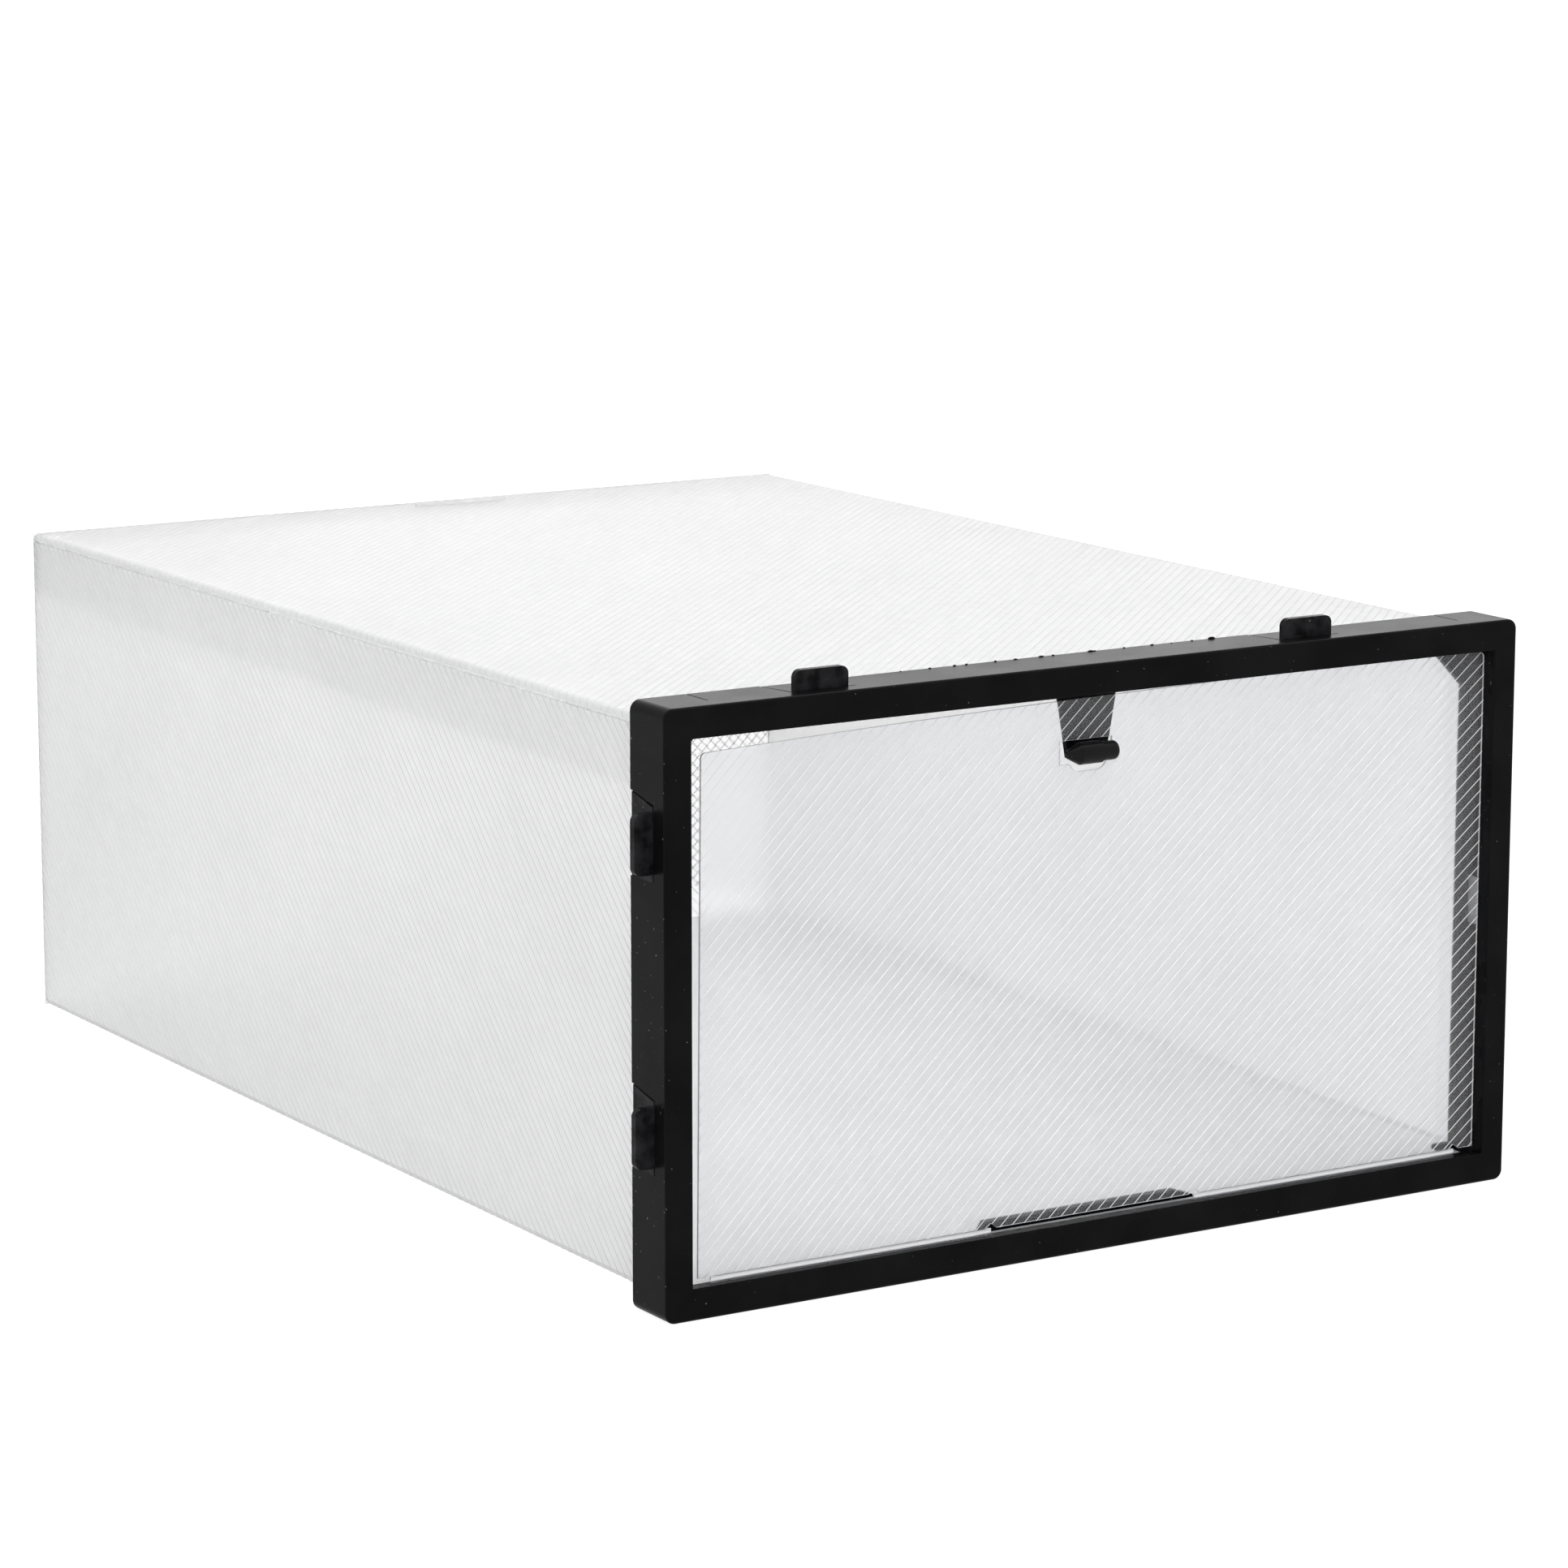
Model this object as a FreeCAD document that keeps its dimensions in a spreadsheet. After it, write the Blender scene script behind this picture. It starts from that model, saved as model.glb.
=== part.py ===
import FreeCAD, Part
import os
import re

# Drop-front shoe box that folds flat: a sleeve folded from one clear plastic
# sheet, a black moulded frame pushed on to its front, and a clear door sheet
# that hangs in the frame on its own crease. Millimetres, +X to the right as the
# door is faced, +Y to the back, +Z up. The origin is under the middle of the box.

doc = FreeCAD.newDocument("shoe_box")
sheet = doc.addObject("Spreadsheet::Sheet", "dims")

SIZES = (
    ("width", 236.0, "frame, side to side"),
    ("height", 138.0, "frame, base to top"),
    ("depth", 338.0, "frame face to back panel"),
    ("frame_depth", 15.0, "front frame, face to rear edge"),
    ("skin", 1.6, "outer wall of the frame"),
    ("face", 2.0, "front face of the frame"),
    ("lip_side", 6.8, "front face beside the door"),
    ("lip_top", 7.1, "front face over the door"),
    ("lip_base", 7.4, "front face under the door"),
    ("step", 0.6, "inner wall set back behind the lip"),
    ("inner", 1.2, "inner wall of the frame"),
    ("inner_depth", 14.0, "rear edge of the inner wall"),
    ("corner", 2.4, "outer corner radius of the frame"),
    ("edge", 0.9, "rounding round the front face"),
    ("mouth_edge", 0.35, "rounding round the door opening"),
    ("ledge", 3.2, "ledge behind the bottom lip, front to back"),
    ("gusset", 11.6, "leg of the brace in each top corner"),
    ("gusset_tip", 0.2, "blunt ends of the braces"),
    ("rib_back", 13.4, "rear face of the inner ribs"),
    ("rib", 1.6, "thickness of the inner ribs"),
    ("finger", 5.5, "rib that stands in over the base panel at each side"),
    ("finger_low", 5.9, "underside of those ribs above the base"),
    ("finger_round", 0.6, "rounded ends of those ribs"),
    ("clip_wide", 60.0, "clip plate on the bottom rail"),
    ("clip_thick", 2.4, "clip plate, front to back"),
    ("clip_off", 2.8, "clip plate centre, right of the middle"),
    ("clip_top", 7.6, "top of the clip plate above the base"),
    ("clip_fall", 1.7, "height of its sloped ends"),
    ("clip_left", 1.2, "slope of its left end"),
    ("clip_right", 5.0, "slope of its right end"),
    ("clip_play", 0.4, "play round the clip plate in the base panel"),
    ("tab_wide", 13.8, "connector tab, along the wall"),
    ("tab_out", 4.6, "connector tab, out of the wall"),
    ("tab_thick", 1.8, "connector tab, front to back"),
    ("tab_y", 5.5, "front face of the tabs behind the frame face"),
    ("tab_round", 1.8, "rounded outer corners of the tabs"),
    ("slit", 0.5, "slit round each connector arm"),
    ("arm_near", 1.2, "arm past the tab at the slit end, front"),
    ("arm_far", 3.4, "arm past the tab at the slit end, rear"),
    ("arm_root", 1.7, "arm past the tab at its root"),
    ("arm_back", 0.6, "arm short of the rear edge"),
    ("top_tab_left", 74.5, "left top tab, left of the middle"),
    ("top_tab_right", 59.5, "right top tab, right of the middle"),
    ("side_tab_high", 107.6, "upper side tab above the base"),
    ("side_tab_low", 41.6, "lower side tab above the base"),
    ("socket_play", 0.5, "play of a tab in its socket"),
    ("window_tall", 12.0, "window for a sheet tongue"),
    ("window_deep", 4.6, "window, front to back"),
    ("window_y", 4.8, "front edge of the windows"),
    ("window_z", 68.8, "middle of the windows above the base"),
    ("groove", 0.4, "moulding groove across the top wall"),
    ("groove_x", 104.0, "grooves from the middle"),
    ("gauge", 0.6, "thickness of the plastic sheet"),
    ("body_side", 1.8, "sleeve inside the frame at the sides"),
    ("body_top", 3.5, "sleeve under the frame top"),
    ("body_base", 4.8, "sleeve above the frame base"),
    ("body_start", 4.4, "front edge of the sleeve behind the face"),
    ("base_gap", 0.3, "base panel behind the ledge of the bottom rail"),
    ("fold", 1.6, "outer radius of the long folds"),
    ("cut_gap", 0.2, "gap at the cut edge of the left panel"),
    ("lap", 16.0, "lap flap below the top left fold"),
    ("tuck", 20.0, "tuck flap in under the top panel"),
    ("tuck_inset", 6.0, "tuck flap short of each side"),
    ("lock_wide", 28.0, "lock tongue of the back"),
    ("lock_in", 8.0, "lock slit in front of the back edge"),
    ("lock_off", 10.0, "lock slit centre, right of the middle"),
    ("lock_up", 0.8, "lock tongue above the top panel"),
    ("lock_play", 0.3, "play in front of and behind the lock tongue"),
    ("lock_end", 1.0, "play at each end of the lock tongue"),
    ("dust_long", 68.0, "dust flaps, in from each side"),
    ("dust_low", 4.0, "dust flap above the base panel at its fold"),
    ("dust_rise", 16.0, "taper of each dust flap edge"),
    ("layer", 0.1, "air between sheets that lie together"),
    ("door_y", 3.0, "front of the door behind the frame face"),
    ("door_left", 3.0, "gap left of the door"),
    ("door_right", 0.7, "gap right of the door"),
    ("door_top", 0.5, "gap over the highest point of the door"),
    ("door_arch", 4500.0, "radius of the door's top edge"),
    ("arch_off", 70.0, "highest point of the door, right of the middle"),
    ("door_corner", 1.2, "rounded top corners of the door"),
    ("crease_z", 8.4, "door crease above the base"),
    ("crease_y", 3.3, "door crease behind the frame face"),
    ("crease_up", 0.25, "door panel above the crease"),
    ("crease_down", 0.6, "hinge tabs below the crease"),
    ("hinge_drop", 6.0, "hinge tabs down into the bottom rail"),
    ("hinge_in_left", 30.0, "left hinge tab, inner end"),
    ("hinge_in_right", 27.5, "right hinge tab, inner end"),
    ("hinge_out", 104.9, "hinge tabs, outer ends"),
    ("hinge_play", 0.4, "play in front of and behind a hinge tab"),
    ("hinge_end", 0.7, "play at each end of a hinge tab"),
    ("notch", 3.2, "width of the notches beside the hinge tabs"),
    ("notch_up", 1.1, "depth of those notches"),
    ("notch_tip", 0.4, "width of those notches at their tips"),
    ("latch_off", 4.0, "latch centre, left of the middle"),
    ("tongue_top", 15.8, "latch tongue at its root"),
    ("tongue_end", 10.4, "latch tongue at its lower end"),
    ("tongue_y", 4.0, "front of the latch tongue"),
    ("tongue_thick", 1.5, "latch tongue"),
    ("tongue_gap", 0.3, "latch tongue under the top rail"),
    ("tongue_low", 116.0, "lower end of the latch tongue"),
    ("bar_z", 117.6, "middle of the latch bar"),
    ("bar_y", 0.8, "middle of the latch bar behind the face"),
    ("bar_radius", 2.6, "thick part of the latch bar"),
    ("bar_thin", 2.25, "thin part of the latch bar"),
    ("bar_tip", 0.9, "radius at the bevelled end"),
    ("bar_bevel", 3.2, "bevelled end"),
    ("bar_main", 5.8, "thick part"),
    ("bar_rest", 4.5, "thin part"),
    ("bar_round", 1.0, "rounding at the thin end"),
    ("bar_start", 7.8, "bevelled end, left of the latch centre"),
    ("neck_wide", 6.0, "neck through the door"),
    ("neck_tall", 2.6, "neck through the door, up and down"),
    ("hole_wide", 14.4, "latch hole in the door"),
    ("hole_tall", 8.0, "latch hole in the door, up and down"),
    ("hole_start", 8.2, "latch hole, left of the latch centre"),
    ("hole_z", 116.9, "middle of the latch hole"),
)
for row, (alias, value, note) in enumerate(SIZES, start=1):
    sheet.set("A%d" % row, note)
    sheet.set("B%d" % row, str(value))
    sheet.setAlias("B%d" % row, alias)
doc.recompute()

# Places that several parts share, as expressions in the driving sizes.
BAR_OUT = "(bar_radius - bar_y)"
MID = "(tab_out / 2)"
FRONT = "(-(depth + %s) / 2 + %s)" % (BAR_OUT, BAR_OUT)
MOUTH = "(width / 2 - lip_side)"
SIDE_IN = "(%s + step)" % MOUTH
SHELF = "(lip_base - step)"
CEILING = "(height - lip_top + step)"
SLEEVE_X = "(width / 2 - body_side)"
SLEEVE_TOP = "(height - body_top)"
BACK = "(%s + depth)" % FRONT


def formula(text):
    """Point every size named in an expression at the spreadsheet."""
    return re.sub(r"[a-z][a-z_]*", lambda hit: "dims." + hit.group(0), str(text))


def bind(thing, **values):
    for prop, text in values.items():
        thing.setExpression(prop, formula(text))


def place(thing, x, y, z):
    thing.setExpression("Placement.Base.x", formula(x))
    thing.setExpression("Placement.Base.y", formula(y))
    thing.setExpression("Placement.Base.z", formula(z))


def turn(thing, axis, angle):
    rotation = FreeCAD.Rotation(FreeCAD.Vector(*axis), angle)
    thing.Placement = FreeCAD.Placement(FreeCAD.Vector(0, 0, 0), rotation)


def box(name, x, y, z, long, deep, tall):
    """A block from its low corner; x counts from the middle of the frame."""
    block = doc.addObject("Part::Box", name)
    bind(block, Length=long, Width=deep, Height=tall)
    place(block, "%s + %s" % (MID, x), "%s + %s" % (FRONT, y), z)
    return block


def wedge(name, low, high, length, thick):
    """A tapered plate: low and high are its X ranges at its two ends in Y."""
    plate = doc.addObject("Part::Wedge", name)
    bind(plate, Xmin=low[0], Xmax=low[1], X2min=high[0], X2max=high[1])
    bind(plate, Ymin="0", Ymax=length, Zmin="0", Zmax=thick, Z2min="0", Z2max=thick)
    return plate


def cut(name, base, tool):
    result = doc.addObject("Part::Cut", name)
    result.Base = base
    result.Tool = tool
    return result


def common(name, base, tool):
    result = doc.addObject("Part::Common", name)
    result.Base = base
    result.Tool = tool
    return result


def fuse(name, pieces):
    result = doc.addObject("Part::MultiFuse", name)
    result.Shapes = pieces
    return result


def fillet(name, base, radius, chosen):
    """Round the edges of a shape whose direction and middle pass the test."""
    doc.recompute()
    picked = []
    for number, line in enumerate(base.Shape.Edges, start=1):
        middle = line.CenterOfMass
        along = line.tangentAt(line.FirstParameter)
        if chosen(middle, along):
            picked.append((number, radius, radius))
    result = doc.addObject("Part::Fillet", name)
    result.Base = base
    result.Edges = picked
    return result


def size(alias):
    return float(sheet.get(alias))


def runs_along(direction, axis):
    return abs(direction.dot(axis)) > 0.999


NEAR = 0.01
Y_AXIS = FreeCAD.Vector(0, 1, 0)

# ---- Front frame: face, outer wall and inner wall, open to the back ----------
block = box("frame_block", "-width / 2", "0", "0", "width", "frame_depth", "height")
block = fillet("frame_corners", block, size("corner"),
               lambda middle, along: runs_along(along, Y_AXIS))
doc.recompute()
face_y = block.Shape.BoundBox.YMin
block = fillet("frame_edges", block, size("edge"),
               lambda middle, along: abs(middle.y - face_y) < NEAR)
hollow = box("frame_hollow", "-width / 2 + skin", "face", "skin",
             "width - 2 * skin", "frame_depth", "height - 2 * skin")
mouth = box("frame_mouth", "-" + MOUTH, "-1", "lip_base",
            "2 * " + MOUTH, "frame_depth", "height - lip_top - lip_base")
shell = cut("frame_walls", cut("frame_tray", block, hollow), mouth)
shell = fillet("frame_lip", shell, size("mouth_edge"),
               lambda middle, along: abs(middle.y - face_y) < NEAR
               and abs(middle.x - size("tab_out") / 2) < size("width") / 2 - size("corner")
               and size("corner") < middle.z < size("height") - size("corner"))
inner_out = box("inner_block", "-%s - inner" % SIDE_IN, "face", "%s - inner" % SHELF,
                "2 * %s + 2 * inner" % SIDE_IN, "inner_depth - face",
                "%s - %s + 2 * inner" % (CEILING, SHELF))
inner_in = box("inner_void", "-" + SIDE_IN, "0", SHELF, "2 * " + SIDE_IN,
               "frame_depth", "%s - %s" % (CEILING, SHELF))
inner_wall = cut("inner_tube", inner_out, inner_in)
base_void = box("inner_base_void", "-" + SIDE_IN, "face + ledge", "%s - inner - 1" % SHELF,
                "2 * " + SIDE_IN, "frame_depth", "inner + 2")
inner_wall = cut("inner_wall", inner_wall, base_void)


def brace(name, side):
    """Three-cornered brace in a top corner, on the rear of the inner wall."""
    thin = "gusset_tip"
    reach = "gusset + inner / 2"
    if side < 0:
        low, high = ("0", thin), ("0", reach)
        where = "%s - %s - inner / 2" % (MID, SIDE_IN)
    else:
        low, high = ("-" + thin, "0"), ("-gusset - inner / 2", "0")
        where = "%s + %s + inner / 2" % (MID, SIDE_IN)
    plate = wedge(name, low, high, reach, "rib")
    turn(plate, (1, 0, 0), 90)
    place(plate, where, "%s + rib_back" % FRONT, "%s - gusset" % CEILING)
    return plate


braces = [brace("brace_left", -1), brace("brace_right", 1)]
fingers = []
for label, start in (("left", "-%s - inner / 2" % SIDE_IN),
                     ("right", "%s - finger" % SIDE_IN)):
    rib = box("finger_" + label, start, "rib_back - rib", "finger_low",
              "finger + inner / 2", "rib", "lip_base - finger_low")
    doc.recompute()
    bounds = rib.Shape.BoundBox
    end_x = bounds.XMax if label == "left" else bounds.XMin
    fingers.append(fillet("finger_end_" + label, rib, size("finger_round"),
                          lambda middle, along: runs_along(along, Y_AXIS)
                          and abs(middle.x - end_x) < NEAR))
ring = fuse("frame_ring", [shell, inner_wall] + braces + fingers)

# Connector arms, each with its tab, cut free in the top and left outer walls.
CONNECTORS = (
    ("connector_top_left", "top", "-top_tab_left"),
    ("connector_top_right", "top", "top_tab_right"),
    ("connector_side_upper", "left", "side_tab_high"),
    ("connector_side_lower", "left", "side_tab_low"),
)


def arm_plate(name, side, play):
    """Arm in the wall; its slit end is on the left on top, and up at the side."""
    near = "(tab_wide / 2 + arm_near + %s)" % play
    far = "(tab_wide / 2 + arm_far + %s)" % play
    root = "(tab_wide / 2 + arm_root)"
    ends = (near, far)
    if side == "top":
        low, high = [("-" + end, root) for end in ends]
    else:
        low, high = [("-" + root, end) for end in ends]
    length = "frame_depth - tab_y - arm_back"
    if play != "0":
        length = "frame_depth - tab_y + 1"
    plate = wedge(name, low, high, length, "skin + 2 * (%s)" % play)
    return plate


def stand(thing, side, along, y, out):
    """Set a connector piece on the top wall, or turned on to the left wall."""
    if side == "top":
        place(thing, "%s + %s" % (MID, along), "%s + %s" % (FRONT, y),
              "height + %s" % out)
    else:
        turn(thing, (0, 1, 0), -90)
        place(thing, "%s - width / 2 - (%s)" % (MID, out), "%s + %s" % (FRONT, y), along)


connectors = []
recesses = []
for label, side, along in CONNECTORS:
    recess = arm_plate(label + "_recess", side, "slit")
    stand(recess, side, along, "tab_y - slit", "-skin - slit")
    recesses.append(recess)
    arm = arm_plate(label + "_arm", side, "0")
    arm.setExpression("Placement.Base.z", formula("-skin"))
    tab = doc.addObject("Part::Box", label + "_plate")
    bind(tab, Length="tab_wide", Width="tab_thick", Height="tab_out + skin")
    tab.setExpression("Placement.Base.x", formula("-tab_wide / 2"))
    tab.setExpression("Placement.Base.z", formula("-skin"))
    tab = fillet(label + "_rounded", tab, size("tab_round"),
                 lambda middle, along: runs_along(along, Y_AXIS) and middle.z > 0)
    piece = fuse(label, [arm, tab])
    stand(piece, side, along, "tab_y", "0")
    connectors.append(piece)

# Sockets for a neighbour's tabs, in the bottom wall and the right wall.
socket_long = "(tab_wide + 2 * socket_play)"
socket_deep = "tab_thick + 2 * socket_play"
sockets = []
for label, along in (("left", "-top_tab_left"), ("right", "top_tab_right")):
    sockets.append(box("base_socket_" + label, "%s - %s / 2" % (along, socket_long),
                       "tab_y - socket_play", "-1", socket_long, socket_deep, "skin + 2"))
for label, along in (("upper", "side_tab_high"), ("lower", "side_tab_low")):
    sockets.append(box("side_socket_" + label, "width / 2 - skin - 1", "tab_y - socket_play",
                       "%s - %s / 2" % (along, socket_long), "skin + 2", socket_deep,
                       socket_long))

# Slots for the door's hinge tabs, windows for the sheet tongues, top grooves.
HINGES = (
    ("left", "-hinge_out", "hinge_out - hinge_in_left"),
    ("right", "hinge_in_right", "hinge_out - hinge_in_right"),
)
slots = []
for label, start, long in HINGES:
    slots.append(box("hinge_slot_" + label, "%s - hinge_end" % start, "door_y - hinge_play",
                     "%s - inner - 1" % SHELF, "%s + 2 * hinge_end" % long,
                     "gauge + 2 * hinge_play", "inner + 2"))
windows = []
for label, start in (("left", "-%s - inner - 1" % SIDE_IN), ("right", "%s - 1" % SIDE_IN)):
    windows.append(box("window_" + label, start, "window_y",
                       "window_z - window_tall / 2", "inner + 2", "window_deep",
                       "window_tall"))
grooves = []
for label, where in (("left", "-groove_x"), ("right", "groove_x")):
    grooves.append(box("top_groove_" + label, where, "tab_y", "height - groove",
                       "groove", "frame_depth", "1"))
cutters = fuse("frame_cutters", recesses + sockets + slots + windows + grooves)
frame = cut("frame_whole", ring, cutters)

# The ring is one moulding. Its front strips, outer walls and inner walls are separate nodes,
# each a plain bar or plate, as (label, X, Y, Z, length, depth, height).
split_low = "lip_base"
split_high = "(height - lip_top)"
wall_high = "(height - skin)"
wall_right = "(width / 2 - skin)"
LEFT_OUT = "-width / 2 - 1"
BEHIND = "frame_depth + 1 - face"
MIDDLE_TALL = "%s - lip_base" % split_high
INNER_LONG = "width / 2 - skin"
RAILS = (
    ("frame_top_rail", LEFT_OUT, "-1", split_high, "width + 2", "face + 1", "lip_top + 1"),
    ("frame_bottom_rail", LEFT_OUT, "-1", "-1", "width + 2", "face + 1", "lip_base + 1"),
    ("frame_left_rail", LEFT_OUT, "-1", split_low, "width / 2", "face + 1", MIDDLE_TALL),
    ("frame_right_rail", "1", "-1", split_low, "width / 2", "face + 1", MIDDLE_TALL),
    ("frame_top_wall", LEFT_OUT, "face", wall_high, "width + 2", BEHIND, "skin + 1"),
    ("frame_bottom_wall", LEFT_OUT, "face", "-1", "width + 2", BEHIND, "skin + 1"),
    ("frame_left_wall", LEFT_OUT, "face", "skin", "skin + 1", BEHIND, "height - 2 * skin"),
    ("frame_right_wall", wall_right, "face", "skin", "skin + 1", BEHIND, "height - 2 * skin"),
    ("frame_inner_top", "-" + wall_right, "face", split_high, "2 * " + wall_right, BEHIND,
     "%s - %s" % (wall_high, split_high)),
    ("frame_inner_left", "-" + wall_right, "face", split_low, INNER_LONG, BEHIND, MIDDLE_TALL),
    ("frame_inner_right", "0", "face", split_low, INNER_LONG, BEHIND, MIDDLE_TALL),
    ("frame_ledge", "-" + wall_right, "face", "skin", "2 * " + wall_right, BEHIND,
     "lip_base - skin"),
)
nodes = []
for label, x, y, z, long, deep, tall in RAILS:
    region = box(label + "_region", x, y, z, long, deep, tall)
    nodes.append(common(label, frame, region))
nodes += connectors

# Clip plate: it stands up from the bottom rail through a slot in the base panel.
clip_start = "(clip_off - clip_wide / 2)"
clip_y = "rib_back - clip_thick"
clip_block = box("clip_block", clip_start, clip_y, "skin", "clip_wide", "clip_thick",
                 "clip_top - clip_fall - skin")
clip_crown = wedge("clip_crown", ("0", "clip_wide"), ("clip_left", "clip_wide - clip_right"),
                   "clip_fall", "clip_thick")
turn(clip_crown, (1, 0, 0), 90)
place(clip_crown, "%s + %s" % (MID, clip_start), "%s + rib_back" % FRONT, "clip_top - clip_fall")
nodes.append(fuse("bottom_clip", [clip_block, clip_crown]))

# ---- Sleeve: four panels of the folded sheet ---------------------------------
sleeve_long = "depth - body_start - gauge - layer"
outer = box("sleeve_outer", "-" + SLEEVE_X, "body_start", "body_base", "2 * " + SLEEVE_X,
            sleeve_long, "%s - body_base" % SLEEVE_TOP)
outer = fillet("sleeve_outer_folds", outer, size("fold"),
               lambda middle, along: runs_along(along, Y_AXIS))
void = box("sleeve_void", "-%s + gauge" % SLEEVE_X, "body_start - 1", "body_base + gauge",
           "2 * %s - 2 * gauge" % SLEEVE_X, "depth + 2",
           "%s - body_base - 2 * gauge" % SLEEVE_TOP)
void = fillet("sleeve_void_folds", void, size("fold") - size("gauge"),
              lambda middle, along: runs_along(along, Y_AXIS))
sleeve = cut("sleeve", outer, void)
lock_slit = box("lock_slit", "lock_off - lock_wide / 2 - lock_end",
                "depth - lock_in - 2 * lock_play", "%s - fold" % SLEEVE_TOP,
                "lock_wide + 2 * lock_end", "gauge + 2 * lock_play", "2 * fold")
clip_slot = box("clip_slot", "%s - clip_play" % clip_start, clip_y + " - clip_play", "skin",
                "clip_wide + 2 * clip_play", "clip_thick + 2 * clip_play", "clip_top")
sleeve = cut("sleeve_slits", sleeve, fuse("sleeve_slit_tools", [lock_slit, clip_slot]))
base_start = "face + ledge + base_gap"
PANELS = (
    ("body_top", "-width / 2", "0", "%s - fold" % SLEEVE_TOP, "width", "2 * fold"),
    ("body_bottom", "-width / 2", base_start, "body_base - 1", "width", "fold + 1"),
    ("body_left", "-width / 2", "0", "body_base + fold", "width / 4",
     "%s - body_base - 2 * fold - cut_gap" % SLEEVE_TOP),
    ("body_right", "width / 4", "0", "body_base + fold", "width / 4",
     "%s - body_base - 2 * fold" % SLEEVE_TOP),
)
for label, x, y, z, long, tall in PANELS:
    region = box(label + "_region", x, y, z, long, "depth + 2", tall)
    nodes.append(common(label, sleeve, region))

# Lap flap of the top panel, welded inside the left panel.
nodes.append(box("body_lap_flap", "-%s + gauge + layer" % SLEEVE_X, "body_start",
                 "%s - lap" % SLEEVE_TOP, "gauge", sleeve_long, "lap - fold"))

# ---- Back: outer panel, tuck flap, lock tongue, two dust flaps inside --------
nodes.append(box("back_panel", "-%s + layer" % SLEEVE_X, "depth - gauge", "body_base",
                 "2 * %s - 2 * layer" % SLEEVE_X, "gauge",
                 "%s - body_base" % SLEEVE_TOP))
tuck_z = "(%s - 2 * gauge - layer)" % SLEEVE_TOP
nodes.append(box("back_tuck_flap", "-%s + tuck_inset" % SLEEVE_X,
                 "depth - gauge - layer - tuck", tuck_z,
                 "2 * %s - 2 * tuck_inset" % SLEEVE_X, "tuck", "gauge"))
nodes.append(box("back_lock_tongue", "lock_off - lock_wide / 2", "depth - lock_in - lock_play",
                 "%s + gauge" % tuck_z, "lock_wide", "gauge", "gauge + layer + lock_up"))
dust_tall = "(%s - 2 * gauge - 2 * layer - body_base - dust_low)" % SLEEVE_TOP
for label, sign, turned in (("dust_flap_left", "-", -90), ("dust_flap_right", "", 90)):
    flap = doc.addObject("Part::Wedge", label)
    thick = ("0", "gauge") if sign == "-" else ("-gauge", "0")
    bind(flap, Xmin=thick[0], Xmax=thick[1], X2min=thick[0], X2max=thick[1],
         Ymin="0", Ymax="dust_long", Zmin="0", Zmax=dust_tall,
         Z2min="dust_rise", Z2max="%s - dust_rise" % dust_tall)
    turn(flap, (0, 0, 1), turned)
    inset = "(%s - 2 * gauge - 2 * layer)" % SLEEVE_X
    if sign == "":
        inset = "(%s - gauge - layer)" % SLEEVE_X
    place(flap, "%s %s %s" % (MID, sign or "+", inset), "%s - gauge - layer" % BACK,
          "body_base + dust_low")
    nodes.append(flap)

# Tongues lanced from the side panels and bent into the frame's windows.
tongue_low = "window_z - window_tall / 2 + cut_gap"
tongue_tall = "window_tall - 2 * cut_gap"
web_long = "(%s - gauge - %s - inner)" % (SLEEVE_X, SIDE_IN)
for side, start, web_start in (
        ("left", "-%s - inner" % SIDE_IN, "-%s + gauge" % SLEEVE_X),
        ("right", "%s + inner - gauge" % SIDE_IN, "%s + inner - gauge" % SIDE_IN)):
    blade = box("tongue_face_" + side, start, "window_y + cut_gap", tongue_low, "gauge",
                "window_deep - 2 * cut_gap", tongue_tall)
    web = box("tongue_web_" + side, web_start, "window_y + window_deep - cut_gap - gauge",
              tongue_low, web_long + " + gauge", "gauge", tongue_tall)
    nodes.append(fuse("side_tongue_" + side, [blade, web]))

# ---- Door ---------------------------------------------------------------------
door_low = "(crease_z + crease_up)"
door_high = "(height - lip_top - door_top)"
panel = box("door_block", "-%s + door_left" % MOUTH, "door_y", door_low,
            "2 * %s - door_left - door_right" % MOUTH, "gauge",
            "%s - %s" % (door_high, door_low))
arch = doc.addObject("Part::Cylinder", "door_arch_round")
bind(arch, Radius="door_arch", Height="gauge + 2")
turn(arch, (1, 0, 0), -90)
place(arch, MID + " + arch_off", "%s + door_y - 1" % FRONT, "%s - door_arch" % door_high)
panel = common("door_arched", panel, arch)
panel = fillet("door_corners", panel, size("door_corner"),
               lambda middle, along: runs_along(along, Y_AXIS) and middle.z > size("hole_z"))
hole_left = "(-latch_off - hole_start)"
hole_low = "(hole_z - hole_tall / 2)"
hole = box("latch_hole", hole_left, "door_y - 1", hole_low, "hole_wide", "gauge + 2",
           "hole_tall")
notches = []
for label, where in (("outer_left", "-hinge_out"), ("inner_left", "-hinge_in_left"),
                     ("inner_right", "hinge_in_right"), ("outer_right", "hinge_out")):
    vee = wedge("notch_" + label, ("-notch / 2", "notch / 2"),
                ("-notch_tip / 2", "notch_tip / 2"), "notch_up", "gauge + 2")
    turn(vee, (1, 0, 0), 90)
    place(vee, "%s + %s" % (MID, where), "%s + door_y + gauge + 1" % FRONT,
          "%s - 0.01" % door_low)
    notches.append(vee)
door = cut("door_sheet", panel, fuse("door_openings", [hole] + notches))

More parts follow.
